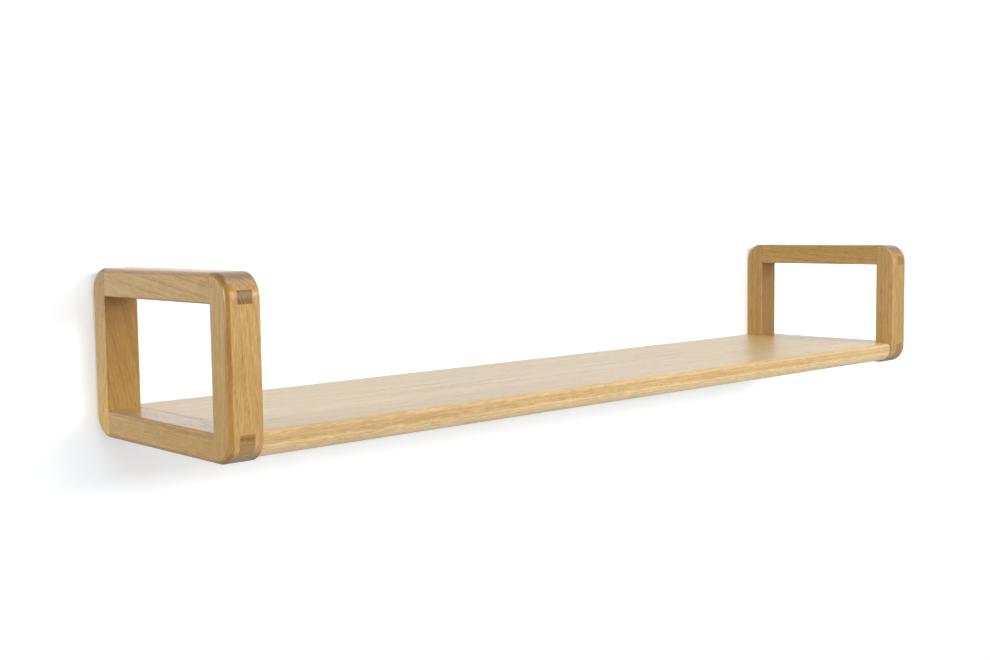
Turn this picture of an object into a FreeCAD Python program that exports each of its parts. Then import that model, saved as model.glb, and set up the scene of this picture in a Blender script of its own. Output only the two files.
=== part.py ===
import FreeCAD, Part
import math
import os
import Sketcher

# Oak wall shelf: two end frames of oak members, joined with through tenons, carry a glued-up
# board. X runs along the shelf, Y runs back into the wall and Z runs up. The back of the shelf
# lies on the plane Y = 0. The pieces are drawn with the underside of the frames at Z = 0, and
# each is then lowered until the board's mid-thickness is at Z = 0, so that the origin is the
# middle of the board's back edge, on the wall.

# Driving sizes in millimetres: name, value and what it measures.
SIZES = [
    ("shelf_length", 900, "overall length, over both end frames"),
    ("shelf_depth", 203, "overall depth, from the wall to the front of the frames"),
    ("frame_height", 135, "overall height of an end frame"),
    ("member_width", 28, "width of the frame members, along the shelf"),
    ("stile_thickness", 22.3, "thickness of the upright members, front to back"),
    ("top_rail_height", 22.3, "height of the upper rail"),
    ("bottom_rail_height", 22.3, "height of the lower rail"),
    ("board_thickness", 20, "thickness of the board, whose top is level with the lower rails"),
    ("corner_radius", 19, "outer corners of the frame, seen from the side"),
    ("outer_arris_radius", 4.5, "rounded edge round the frame's outer face"),
    ("inner_arris_bevel", 1.3, "bevelled edge round the frame's inner face"),
    ("opening_arris_radius", 1.2, "rounded edges of the frame's opening"),
    ("tenon_width", 12, "through tenons, along the shelf"),
    ("top_tenon_height", 9.5, "through tenons of the upper rail"),
    ("bottom_tenon_height", 14, "through tenons of the lower rail"),
    ("top_tenon_shoulder", 0.3, "from the upper rail's underside up to its tenon"),
    ("bottom_tenon_shoulder", 0.6, "from the lower rail's top down to its tenon"),
    ("top_tenon_offset", 1, "upper tenons, off the member's middle towards +X"),
    ("bottom_tenon_offset", 0.2, "lower tenons, off the member's middle towards +X"),
    ("glue_gap", 0.1, "all round each tenon in its mortise"),
    ("board_setback", 3.3, "from the front of the frames to the board's front edge"),
    ("board_top_radius", 4.5, "upper front edge of the board"),
    ("board_bottom_radius", 13, "lower front edge of the board"),
    ("board_back_radius", 4, "both edges of the board at the wall"),
    ("board_end_chamfer", 0.5, "eased edges round the ends of the board"),
    ("tongue_thickness", 6, "loose tongues between the board and the lower rails"),
    ("tongue_depth_in_rail", 14, "how far a tongue reaches into the rail"),
    ("tongue_depth_in_board", 18, "how far a tongue reaches into the board"),
    ("tongue_margin", 12, "from each stile to the nearer end of a tongue"),
    ("tongue_clearance", 0.1, "over, under and past the ends of a tongue in its slot"),
    ("tongue_relief", 1, "room for glue past each long edge of a tongue"),
    ("plate_drop", 21, "from the upper rail's underside down to a hanger plate"),
    ("plate_height", 40, "hanger plate"),
    ("plate_width", 16, "hanger plate"),
    ("plate_thickness", 2, "hanger plate"),
    ("plate_corner_radius", 5, "hanger plate"),
    ("plate_inset", 0.3, "from the wall plane to the hanger plate"),
    ("plate_clearance", 0.2, "round the hanger plate in its recess"),
    ("keyhole_entry_diameter", 10, "round part of the keyhole, for the head of a wall screw"),
    ("keyhole_slot_width", 5, "narrow part of the keyhole, above the round part"),
    ("keyhole_travel", 9, "from the middle of the round part to the middle of the slot's end"),
    ("head_pocket_width", 13, "hollow behind the keyhole, for the head of a wall screw"),
    ("head_pocket_web", 2.4, "wood left between that hollow and each plate screw's hole"),
    ("head_pocket_depth", 9, "hollow behind the keyhole, from the wall plane"),
    ("head_pocket_radius", 6, "corners of the hollow behind the keyhole"),
    ("screw_end_distance", 4.5, "from the middle of a plate screw to the nearer end of its plate"),
    ("screw_diameter", 3, "plate screw, over its shank"),
    ("screw_head_diameter", 6, "plate screw"),
    ("screw_length", 12, "plate screw, with its head"),
    ("screw_clearance", 0.1, "round a plate screw, and past its end"),
    ("drive_length", 3, "each arm of the cross recess in a screw head, end to end"),
    ("drive_width", 0.8, "each arm of the cross recess"),
    ("drive_depth", 1, "cross recess"),
    ("overrun", 2, "how far a cutting shape runs past the face that it cuts"),
]

STAVE_COUNT = 4

# How close two places have to be to count as the same.
TOLERANCE = 1e-4

# Places in the cross-section, worked out from the driving sizes.
FRONT = "-Sizes.shelf_depth"
FRONT_STILE_BACK = "-Sizes.shelf_depth + Sizes.stile_thickness"
BACK_STILE_FRONT = "-Sizes.stile_thickness"
BOARD_DEPTH = "(Sizes.shelf_depth - Sizes.board_setback)"
TOP_RAIL_UNDERSIDE = "Sizes.frame_height - Sizes.top_rail_height"
HALF_BOARD_LENGTH = "(Sizes.shelf_length / 2 - Sizes.member_width)"
BOARD_UNDERSIDE = "(Sizes.bottom_rail_height - Sizes.board_thickness)"
BOARD_MIDDLE = "(Sizes.bottom_rail_height - Sizes.board_thickness / 2)"

# X of the two faces of each end frame, and whether its outer face is the first of them.
FRAME_PLACES = {
    "left": ("-Sizes.shelf_length / 2", "-" + HALF_BOARD_LENGTH, True),
    "right": (HALF_BOARD_LENGTH, "Sizes.shelf_length / 2", False),
}

# Z of the two faces of each rail, and of its tenons.
RAIL_PLACES = {
    "top": (
        (TOP_RAIL_UNDERSIDE, "Sizes.frame_height"),
        (TOP_RAIL_UNDERSIDE + " + Sizes.top_tenon_shoulder",
         TOP_RAIL_UNDERSIDE + " + Sizes.top_tenon_shoulder + Sizes.top_tenon_height"),
    ),
    "bottom": (
        ("0", "Sizes.bottom_rail_height"),
        ("Sizes.bottom_rail_height - Sizes.bottom_tenon_shoulder - Sizes.bottom_tenon_height",
         "Sizes.bottom_rail_height - Sizes.bottom_tenon_shoulder"),
    ),
}

# Y of the front and the back of each stile's block, with room to spare outside the frame.
STILE_PLACES = {
    "front": (FRONT + " - Sizes.overrun", FRONT_STILE_BACK),
    "back": (BACK_STILE_FRONT, "Sizes.overrun"),
}

TURN_Z_TO_FRONT = FreeCAD.Rotation(FreeCAD.Vector(1, 0, 0), 90)

doc = FreeCAD.newDocument("wall_shelf")
sheet = doc.addObject("Spreadsheet::Sheet", "Sizes")
for row, (size_name, size, meaning) in enumerate(SIZES, start=1):
    sheet.set(f"A{row}", size_name)
    sheet.set(f"B{row}", str(size))
    sheet.set(f"C{row}", meaning)
    sheet.setAlias(f"B{row}", size_name)
doc.recompute()

# Each finished piece, with the number of solids that it has to have.
sub_parts = []


def number(expression):
    """The value of an expression, to draw a shape in its place before it is bound."""
    return float(sheet.evalExpression(expression))


def place(item, x, y, z):
    """Bind an object's position to three expressions."""
    item.setExpression("Placement.Base.x", x)
    item.setExpression("Placement.Base.y", y)
    item.setExpression("Placement.Base.z", z)


def finish(item, label, x="0", y="0", z="0", solids=1):
    """Name a finished piece and put it in the part's own frame."""
    item.Label = label
    place(item, x, y, f"{z} - {BOARD_MIDDLE}")
    sub_parts.append((item, solids))


def new_body(name):
    return doc.addObject("PartDesign::Body", name)


def new_sketch(body, name, plane_role, offset="0"):
    """A sketch on one of the body's origin planes, moved by an offset along its normal."""
    sketch = body.newObject("Sketcher::SketchObject", name)
    planes = [plane for plane in body.Origin.OriginFeatures if plane.Role == plane_role]
    sketch.AttachmentSupport = [(planes[0], "")]
    sketch.MapMode = "FlatFace"
    sketch.setExpression("AttachmentOffset.Base.z", offset)
    return sketch


def constrain(sketch, constraint, expression):
    index = sketch.addConstraint(constraint)
    sketch.setExpression(f"Constraints[{index}]", expression)


def draw_circle(sketch, x, y, radius):
    centre = FreeCAD.Vector(number(x), number(y), 0)
    circle = sketch.addGeometry(Part.Circle(centre, FreeCAD.Vector(0, 0, 1), number(radius)))
    constrain(sketch, Sketcher.Constraint("Radius", circle, number(radius)), radius)
    constrain(sketch, Sketcher.Constraint("DistanceX", -1, 1, circle, 3, number(x)), x)
    constrain(sketch, Sketcher.Constraint("DistanceY", -1, 1, circle, 3, number(y)), y)


def draw_outline(sketch, points):
    """A closed outline of straight lines through points given by expressions."""
    places = [FreeCAD.Vector(number(x), number(y), 0) for x, y in points]
    lines = []
    for index, start in enumerate(places):
        end = places[(index + 1) % len(places)]
        lines.append(sketch.addGeometry(Part.LineSegment(start, end)))
    for index, (x, y) in enumerate(points):
        line = lines[index]
        sketch.addConstraint(Sketcher.Constraint("Coincident", lines[index - 1], 2, line, 1))
        constrain(sketch, Sketcher.Constraint("DistanceX", -1, 1, line, 1, number(x)), x)
        constrain(sketch, Sketcher.Constraint("DistanceY", -1, 1, line, 1, number(y)), y)


def draw_rounded(sketch, low, high, radii):
    """A rectangle between two corners, each of its corners rounded with its own radius.

    The radii go round from the low corner: low x and low y, high x and low y, high x and
    high y, low x and high y.
    """
    x_ends = (number(low[0]), number(high[0]))
    y_ends = (number(low[1]), number(high[1]))
    corners = [FreeCAD.Vector(x_ends[i], y_ends[j], 0) for i, j in ((0, 0), (1, 0), (1, 1), (0, 1))]
    sizes = [number(radius) for radius in radii]

    lines = []
    for index, corner in enumerate(corners):
        following = (index + 1) % 4
        along = (corners[following] - corner).normalize()
        start = corner + along * sizes[index]
        end = corners[following] - along * sizes[following]
        lines.append(sketch.addGeometry(Part.LineSegment(start, end)))
        direction = "Vertical" if index % 2 else "Horizontal"
        sketch.addConstraint(Sketcher.Constraint(direction, lines[index]))

    for index, corner in enumerate(corners):
        along = (corners[(index + 1) % 4] - corner).normalize()
        inward = FreeCAD.Vector(-along.y, along.x, 0)
        centre = corner + (along + inward) * sizes[index]
        circle = Part.Circle(centre, FreeCAD.Vector(0, 0, 1), sizes[index])
        start_angle = math.pi + index * math.pi / 2
        arc = sketch.addGeometry(Part.ArcOfCircle(circle, start_angle, start_angle + math.pi / 2))
        sketch.addConstraint(Sketcher.Constraint("Tangent", lines[index - 1], 2, arc, 1))
        sketch.addConstraint(Sketcher.Constraint("Tangent", arc, 2, lines[index], 1))
        constrain(sketch, Sketcher.Constraint("Radius", arc, sizes[index]), radii[index])

    bounds = (
        (lines[0], "DistanceY", low[1]),
        (lines[1], "DistanceX", high[0]),
        (lines[2], "DistanceY", high[1]),
        (lines[3], "DistanceX", low[0]),
    )
    for line, kind, edge in bounds:
        constrain(sketch, Sketcher.Constraint(kind, -1, 1, line, 1, number(edge)), edge)


def pad(body, sketch, length):
    feature = body.newObject("PartDesign::Pad", sketch.Name + "_pad")
    feature.Profile = sketch
    feature.setExpression("Length", length)
    doc.recompute()
    return feature


def pocket(body, sketch, depth):
    """Cut a sketch into the body along the sketch's normal, which has to take wood or steel away."""
    volume = body.Shape.Volume
    feature = body.newObject("PartDesign::Pocket", sketch.Name + "_pocket")
    feature.Profile = sketch
    feature.setExpression("Length", depth)
    feature.Reversed = True
    doc.recompute()
    if body.Shape.Volume >= volume:
        raise RuntimeError(f"{feature.Name} cuts nothing")
    return feature


def dress(body, kind, name, base, edges, size_name, size):
    """Round or bevel some edges of a feature."""
    feature = body.newObject(f"PartDesign::{kind}", name)
    feature.Base = (base, edges)
    feature.setExpression(size_name, size)
    doc.recompute()
    return feature


def face_at(shape, axis, where):
    """The largest flat face that lies across an axis, X or Y, at a given place."""
    found = []
    for face in shape.Faces:
        box = face.BoundBox
        ends = (getattr(box, axis + "Min"), getattr(box, axis + "Max"))
        if all(abs(end - where) < TOLERANCE for end in ends):
            found.append(face)
    return max(found, key=lambda face: face.Area)


def edge_names(shape, edges):
    """What a feature calls some edges of its shape."""
    return [f"Edge{index}" for index, edge in enumerate(shape.Edges, start=1)
            if any(edge.isSame(wanted) for wanted in edges)]


def outline_edges(face):
    return face.OuterWire.Edges


def opening_edges(face):
    return [edge for edge in face.Edges
            if not any(edge.isSame(outer) for outer in face.OuterWire.Edges)]


def new_box(name, low, high):
    """A block between two corners given by expressions."""
    box = doc.addObject("Part::Box", name)
    place(box, *low)
    for size, start, end in zip(("Length", "Width", "Height"), low, high):
        box.setExpression(size, f"({end}) - ({start})")
    return box


def new_drill(name, rotation, start, radius, length):
    """The round shape that a drill takes away."""
    drill = doc.addObject("Part::Cylinder", name)
    drill.Placement = FreeCAD.Placement(FreeCAD.Vector(), rotation)
    place(drill, *start)
    drill.setExpression("Radius", radius)
    drill.setExpression("Height", length)
    return drill


def combine(kind, name, base, tool):
    item = doc.addObject(f"Part::{kind}", name)
    item.Base = base
    item.Tool = tool
    return item


def fuse(name, items):
    item = doc.addObject("Part::MultiFuse", name)
    item.Shapes = items
    return item


# The end frames are glued up first and then rounded over as one, so that each member is the
# share of a rounded blank that lies in that member's block.

def make_frame_blank(side):
    low_x, high_x, outer_first = FRAME_PLACES[side]
    body = new_body(f"{side}_frame_blank")
    place(body, low_x, "0", "0")
    outline = new_sketch(body, f"{side}_frame_outline", "YZ_Plane")
    draw_rounded(outline, (FRONT, "0"), ("0", "Sizes.frame_height"), ["Sizes.corner_radius"] * 4)
    draw_outline(outline, [
        (FRONT_STILE_BACK, "Sizes.bottom_rail_height"),
        (BACK_STILE_FRONT, "Sizes.bottom_rail_height"),
        (BACK_STILE_FRONT, TOP_RAIL_UNDERSIDE),
        (FRONT_STILE_BACK, TOP_RAIL_UNDERSIDE),
    ])
    feature = pad(body, outline, "Sizes.member_width")

    first_face = 0
    second_face = number("Sizes.member_width")
    outer_face, inner_face = (first_face, second_face) if outer_first else (second_face, first_face)
    for kind, name, where, size_name, size in (
            ("Fillet", "outer", outer_face, "Radius", "Sizes.outer_arris_radius"),
            ("Chamfer", "inner", inner_face, "Size", "Sizes.inner_arris_bevel")):
        edges = outline_edges(face_at(feature.Shape, "X", where))
        feature = dress(body, kind, f"{side}_{name}_arris", feature,
                        edge_names(feature.Shape, edges), size_name, size)
    edges = []
    for where in (first_face, second_face):
        edges += opening_edges(face_at(feature.Shape, "X", where))
    dress(body, "Fillet", f"{side}_opening_arris", feature,
          edge_names(feature.Shape, edges), "Radius", "Sizes.opening_arris_radius")
    return body


def tenon_block(side, level, name, gap):
    """Both tenons of a rail in one bar from front to back, widened all round by a gap."""
    low_x = FRAME_PLACES[side][0]
    low_z, high_z = RAIL_PLACES[level][1]
    middle = f"{low_x} + Sizes.member_width / 2 + Sizes.{level}_tenon_offset"
    return new_box(
        name,
        (f"{middle} - Sizes.tenon_width / 2 - {gap}", FRONT + " - Sizes.overrun", f"{low_z} - {gap}"),
        (f"{middle} + Sizes.tenon_width / 2 + {gap}", "Sizes.overrun", f"{high_z} + {gap}"))


def make_rail_form(side, level, blank):
    """A rail with its two tenons, whose ends follow the rounded faces of the stiles."""
    low_x, high_x, _ = FRAME_PLACES[side]
    low_z, high_z = RAIL_PLACES[level][0]
    block = new_box(f"{side}_{level}_rail_block",
                    (low_x, FRONT_STILE_BACK, low_z), (high_x, BACK_STILE_FRONT, high_z))
    tenons = tenon_block(side, level, f"{side}_{level}_tenons", "0")
    outline = combine("Fuse", f"{side}_{level}_rail_outline", block, tenons)
    return combine("Common", f"{side}_{level}_rail_form", blank, outline)


def make_stile(side, end, blank, extra_cuts):
    """A full-height stile with a mortise right through it for each rail."""
    low_x, high_x, _ = FRAME_PLACES[side]
    low_y, high_y = STILE_PLACES[end]
    block = new_box(f"{side}_{end}_stile_block",
                    (low_x, low_y, "0"), (high_x, high_y, "Sizes.frame_height"))
    form = combine("Common", f"{side}_{end}_stile_form", blank, block)
    cuts = [tenon_block(side, level, f"{side}_{end}_{level}_mortise", "Sizes.glue_gap")
            for level in RAIL_PLACES]
    cuts = fuse(f"{side}_{end}_stile_cuts", cuts + extra_cuts)
    finish(combine("Cut", f"{side}_{end}_stile_cut", form, cuts), f"{side}_{end}_stile")


# The board is profiled along its front after its staves have been glued side by side.

def make_board_blank():
    body = new_body("board_blank")
    place(body, "-" + HALF_BOARD_LENGTH, "0", "0")
    profile = new_sketch(body, "board_profile", "YZ_Plane")
    draw_rounded(profile, ("-" + BOARD_DEPTH, BOARD_UNDERSIDE), ("0", "Sizes.bottom_rail_height"), [
        "Sizes.board_bottom_radius",
        "Sizes.board_back_radius",
        "Sizes.board_back_radius",
        "Sizes.board_top_radius",
    ])
    length = "2 * " + HALF_BOARD_LENGTH
    feature = pad(body, profile, length)
    edges = []
    for where in (0, number(length)):
        edges += outline_edges(face_at(feature.Shape, "X", where))
    dress(body, "Chamfer", "board_end_bevels", feature,
          edge_names(feature.Shape, edges), "Size", "Sizes.board_end_chamfer")
    return body


def make_stave(index, blank, slots):
    """One stave of the board, counted from the wall, with its share of the slot in each end."""
    block = new_box(
        f"stave_{index}_block",
        ("-" + HALF_BOARD_LENGTH, f"-{BOARD_DEPTH} * {index} / {STAVE_COUNT}", BOARD_UNDERSIDE),
        (HALF_BOARD_LENGTH, f"-{BOARD_DEPTH} * {index - 1} / {STAVE_COUNT}",
         "Sizes.bottom_rail_height"))
    form = combine("Common", f"stave_{index}_form", blank, block)
    finish(combine("Cut", f"stave_{index}_cut", form, slots), f"board_stave_{index}")


# A loose tongue joins each end of the board to the lower rail, hidden in a slot in both.

def tongue_block(side, name, clearance, relief):
    """A tongue, or with a clearance and a relief the slot that it lies in."""
    if side == "left":
        shoulder, in_low, in_high = "-" + HALF_BOARD_LENGTH, "rail", "board"
    else:
        shoulder, in_low, in_high = HALF_BOARD_LENGTH, "board", "rail"
    half_height = f"Sizes.tongue_thickness / 2 + {clearance}"
    return new_box(
        name,
        (f"{shoulder} - Sizes.tongue_depth_in_{in_low} - {relief}",
         f"{FRONT_STILE_BACK} + Sizes.tongue_margin - {clearance}",
         f"{BOARD_MIDDLE} - ({half_height})"),
        (f"{shoulder} + Sizes.tongue_depth_in_{in_high} + {relief}",
         f"{BACK_STILE_FRONT} - Sizes.tongue_margin + {clearance}",
         f"{BOARD_MIDDLE} + {half_height}"))


def make_slot(side):
    return tongue_block(side, f"{side}_tongue_slot", "Sizes.tongue_clearance", "Sizes.tongue_relief")


def make_tongue(side):
    """The tongue, in a group of one so that it is lowered to its place like the other pieces."""
    strip = tongue_block(side, f"{side}_tongue_strip", "0", "0")
    group = doc.addObject("Part::Compound", f"{side}_tongue_group")
    group.Links = [strip]
    finish(group, f"{side}_tongue")


# A keyhole hanger plate lies in a recess in the back of each rear stile, over a hollow in
# which the head of a wall screw slides up. Its bodies are drawn round the plate's middle.

KEYHOLE_ENTRY_Z = ("-(Sizes.keyhole_travel + Sizes.keyhole_slot_width / 2"
                   " - Sizes.keyhole_entry_diameter / 2) / 2")
KEYHOLE_SLOT_END_Z = KEYHOLE_ENTRY_Z + " + Sizes.keyhole_travel"
PLATE_MIDDLE_Z = f"{TOP_RAIL_UNDERSIDE} - Sizes.plate_drop - Sizes.plate_height / 2"
PLATE_SCREW_HOLE_RADIUS = "(Sizes.screw_diameter / 2 + Sizes.screw_clearance)"
SCREW_HEIGHT = "(Sizes.plate_height / 2 - Sizes.screw_end_distance)"
SCREW_HEIGHTS = ("-" + SCREW_HEIGHT, SCREW_HEIGHT)
HEAD_POCKET_HEIGHT = f"2 * ({SCREW_HEIGHT} - {PLATE_SCREW_HOLE_RADIUS} - Sizes.head_pocket_web)"


def stile_middle(side):
    return f"{FRAME_PLACES[side][0]} + Sizes.member_width / 2"


def draw_centred(sketch, width, height, radius):
    draw_rounded(sketch, (f"-({width}) / 2", f"-({height}) / 2"),
                 (f"({width}) / 2", f"({height}) / 2"), [radius] * 4)


def make_plate(side):
    body = new_body(f"{side}_plate_body")
    outline = new_sketch(body, f"{side}_plate_outline", "XZ_Plane", "Sizes.plate_inset")
    draw_centred(outline, "Sizes.plate_width", "Sizes.plate_height", "Sizes.plate_corner_radius")
    pad(body, outline, "Sizes.plate_thickness")

    through = "Sizes.plate_inset + Sizes.plate_thickness + Sizes.overrun"
    entry = new_sketch(body, f"{side}_keyhole_entry", "XZ_Plane")
    draw_circle(entry, "0", KEYHOLE_ENTRY_Z, "Sizes.keyhole_entry_diameter / 2")
    pocket(body, entry, through)
    slot = new_sketch(body, f"{side}_keyhole_slot", "XZ_Plane")
    draw_outline(slot, [
        ("-Sizes.keyhole_slot_width / 2", KEYHOLE_ENTRY_Z),
        ("Sizes.keyhole_slot_width / 2", KEYHOLE_ENTRY_Z),
        ("Sizes.keyhole_slot_width / 2", KEYHOLE_SLOT_END_Z),
        ("-Sizes.keyhole_slot_width / 2", KEYHOLE_SLOT_END_Z),
    ])
    pocket(body, slot, through)
    slot_end = new_sketch(body, f"{side}_keyhole_slot_end", "XZ_Plane")
    draw_circle(slot_end, "0", KEYHOLE_SLOT_END_Z, "Sizes.keyhole_slot_width / 2")
    pocket(body, slot_end, through)

    holes = new_sketch(body, f"{side}_plate_screw_holes", "XZ_Plane")
    for height in SCREW_HEIGHTS:
        draw_circle(holes, "0", height, PLATE_SCREW_HOLE_RADIUS)
    feature = pocket(body, holes, through)
    rims = [edge for edge in face_at(feature.Shape, "Y", -number("Sizes.plate_inset")).Edges
            if edge.isClosed()]
    dress(body, "Chamfer", f"{side}_plate_countersinks", feature,
          edge_names(feature.Shape, rims), "Size",
          "(Sizes.screw_head_diameter - Sizes.screw_diameter) / 2")
    finish(body, f"{side}_keyhole_plate", x=stile_middle(side), z=PLATE_MIDDLE_Z)


def make_hanger_cuts(side):
    """What is cut into the back of a rear stile: the plate's recess, the hollow, pilot holes."""
    body = new_body(f"{side}_hanger_recess")
    place(body, stile_middle(side), "0", PLATE_MIDDLE_Z)
    recess = new_sketch(body, f"{side}_plate_recess", "XZ_Plane", "-Sizes.overrun")
    draw_centred(recess, "Sizes.plate_width + 2 * Sizes.plate_clearance",
                 "Sizes.plate_height + 2 * Sizes.plate_clearance",
                 "Sizes.plate_corner_radius + Sizes.plate_clearance")
    pad(body, recess, "Sizes.plate_thickness + Sizes.plate_inset + Sizes.overrun")
    hollow = new_sketch(body, f"{side}_head_pocket", "XZ_Plane", "-Sizes.overrun")
    draw_centred(hollow, "Sizes.head_pocket_width", HEAD_POCKET_HEIGHT, "Sizes.head_pocket_radius")
    pad(body, hollow, "Sizes.head_pocket_depth + Sizes.overrun")

    cuts = [body]
    for index, height in enumerate(SCREW_HEIGHTS, start=1):
        cuts.append(new_drill(
            f"{side}_pilot_drill_{index}", TURN_Z_TO_FRONT,
            (stile_middle(side), "Sizes.overrun", f"{PLATE_MIDDLE_Z} + {height}"),
            PLATE_SCREW_HOLE_RADIUS,
            "Sizes.overrun + Sizes.plate_inset + Sizes.screw_length + Sizes.screw_clearance"))
    return cuts


def make_screw(side, index, height):
    """A countersunk screw with a cross recess, its head level with the plate."""
    body = new_body(f"{side}_screw_{index}")
    place(body, stile_middle(side), "-Sizes.plate_inset", f"{PLATE_MIDDLE_Z} + {height}")
    profile = new_sketch(body, f"{side}_screw_{index}_profile", "XY_Plane")
    head_height = "(Sizes.screw_head_diameter - Sizes.screw_diameter) / 2"
    draw_outline(profile, [
        ("0", "0"),
        ("0", "-Sizes.screw_length"),
        ("Sizes.screw_diameter / 2", "-Sizes.screw_length"),
        ("Sizes.screw_diameter / 2", "-" + head_height),
        ("Sizes.screw_head_diameter / 2", "0"),
    ])
    turned = body.newObject("PartDesign::Revolution", f"{side}_screw_{index}_turned")
    turned.Profile = profile
    turned.ReferenceAxis = (profile, ["V_Axis"])
    doc.recompute()

    recess = new_sketch(body, f"{side}_screw_{index}_recess", "XZ_Plane")
    arm = "Sizes.drive_length / 2"
    half = "Sizes.drive_width / 2"
    draw_outline(recess, [
        (arm, "-" + half), (arm, half), (half, half), (half, arm),
        ("-" + half, arm), ("-" + half, half), ("-" + arm, half), ("-" + arm, "-" + half),
        ("-" + half, "-" + half), ("-" + half, "-" + arm), (half, "-" + arm), (half, "-" + half),
    ])
    pocket(body, recess, "Sizes.drive_depth")
    return body


board_blank = make_board_blank()
tongue_slots = {side: make_slot(side) for side in FRAME_PLACES}
all_tongue_slots = fuse("all_tongue_slots", list(tongue_slots.values()))
for stave_index in range(1, STAVE_COUNT + 1):
    make_stave(stave_index, board_blank, all_tongue_slots)

screws = []
for side in FRAME_PLACES:
    frame_blank = make_frame_blank(side)
    make_stile(side, "front", frame_blank, [])
    make_stile(side, "back", frame_blank, make_hanger_cuts(side))
    finish(make_rail_form(side, "top", frame_blank), f"{side}_top_rail")
    bottom_rail_form = make_rail_form(side, "bottom", frame_blank)
    bottom_rail = combine("Cut", f"{side}_bottom_rail_cut", bottom_rail_form, tongue_slots[side])
    finish(bottom_rail, f"{side}_bottom_rail")
    make_tongue(side)
    make_plate(side)
    for screw_index, screw_height in enumerate(SCREW_HEIGHTS, start=1):
        screws.append(make_screw(side, screw_index, screw_height))
screw_group = doc.addObject("Part::Compound", "screw_group")
screw_group.Links = screws
finish(screw_group, "plate_screws", solids=len(screws))

doc.recompute()

for item in doc.Objects:
    if "Invalid" in item.State or "Error" in item.State:
        raise RuntimeError(f"{item.Name} is {item.State}")
for item, solids in sub_parts:
    if item.Shape.isNull() or not item.Shape.isValid() or len(item.Shape.Solids) != solids:
        raise RuntimeError(f"{item.Label} has no sound shape")

os.makedirs("parts", exist_ok=True)
for item, _ in sub_parts:
    item.Shape.exportStep(f"parts/{item.Label}.step")
    print(item.Label, round(item.Shape.Volume), "mm3")
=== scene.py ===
"""Dresses the oak wall shelf: oak, beech and steel finishes, and a plain white studio."""

import math
from dataclasses import dataclass
from functools import partial

import bmesh
import bpy
from bpy.props import FloatProperty, FloatVectorProperty, IntProperty, PointerProperty
from bpy.types import Operator, Panel, PropertyGroup
from mathutils import Matrix, Vector


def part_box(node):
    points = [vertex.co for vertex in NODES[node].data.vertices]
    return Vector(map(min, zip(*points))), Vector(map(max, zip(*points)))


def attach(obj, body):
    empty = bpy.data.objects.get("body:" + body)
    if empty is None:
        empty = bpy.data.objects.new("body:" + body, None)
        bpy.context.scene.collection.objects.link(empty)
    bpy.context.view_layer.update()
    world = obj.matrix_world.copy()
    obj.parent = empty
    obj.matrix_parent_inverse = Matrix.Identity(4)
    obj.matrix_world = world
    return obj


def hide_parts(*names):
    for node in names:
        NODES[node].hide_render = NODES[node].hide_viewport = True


bl_info = {
    "name": "Oak Wall Shelf",
    "version": (1, 0, 0),
    "blender": (4, 5, 0),
    "location": "3D View > Sidebar > Oak Shelf",
    "description": "Finishes the pieces of an oak wall shelf and sets up a white studio",
    "category": "Object",
}

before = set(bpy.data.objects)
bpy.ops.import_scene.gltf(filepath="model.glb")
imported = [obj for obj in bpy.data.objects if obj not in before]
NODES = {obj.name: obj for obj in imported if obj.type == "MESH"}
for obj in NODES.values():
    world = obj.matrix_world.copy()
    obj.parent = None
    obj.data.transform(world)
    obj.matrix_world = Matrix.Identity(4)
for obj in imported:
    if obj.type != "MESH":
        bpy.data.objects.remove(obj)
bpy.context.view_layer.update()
BODY = "root"

MM = 0.001
# Both end frames, and which way along X each one's outer face looks.
SIDES = {"left": -1.0, "right": 1.0}
MEMBERS = ("front_stile", "back_stile", "top_rail", "bottom_rail")
# From the wall to the front of the board.
STAVES = [f"board_stave_{number}" for number in range(1, 5)]

QUARTER_TURN = math.radians(90)
# Corners that lie closer than this are one corner.
WELD_DISTANCE = 0.002 * MM
# An edge that turns by less than the first is flat, and by more than the second is crisp.
FLAT_ANGLE = math.radians(0.05)
CRISP_ANGLE = math.radians(40)


@dataclass
class Timber:
    """The plank that a piece of oak is cut from, as seen from the middle of the piece.

    Its grain runs along an axis and leans off it by some degrees. The heart of the tree, the
    width of the yearly rings and how far they waver are in millimetres. The tone is how pale it
    is. The fade is painted light and shade: how much paler the piece is painted towards its
    right, back or upper end, or darker where it is below nought. Gold is how golden it is, ends
    how dark its end grain is, and seed where in the endless pattern it is cut.
    """
    along: str
    heart: tuple
    lean: tuple = (0, 0, 0)
    rings: float = 2.2
    waver: float = 4
    tone: float = 0
    fade: float = 0
    gold: float = 0
    ends: float = 1
    seed: int = 0

    def turn(self):
        """The rotation that brings the Z axis of the grain pattern to this piece's grain."""
        degrees, axis = {"X": (90, "Y"), "Y": (-90, "X"), "Z": (0, "Z")}[self.along]
        turn = Matrix.Rotation(math.radians(degrees), 3, axis)
        for degrees, axis in zip(self.lean, "XYZ"):
            turn = Matrix.Rotation(math.radians(degrees), 3, axis) @ turn
        return turn

    def grain(self):
        return Vector([1.0 if axis == self.along else 0.0 for axis in "XYZ"])


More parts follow.
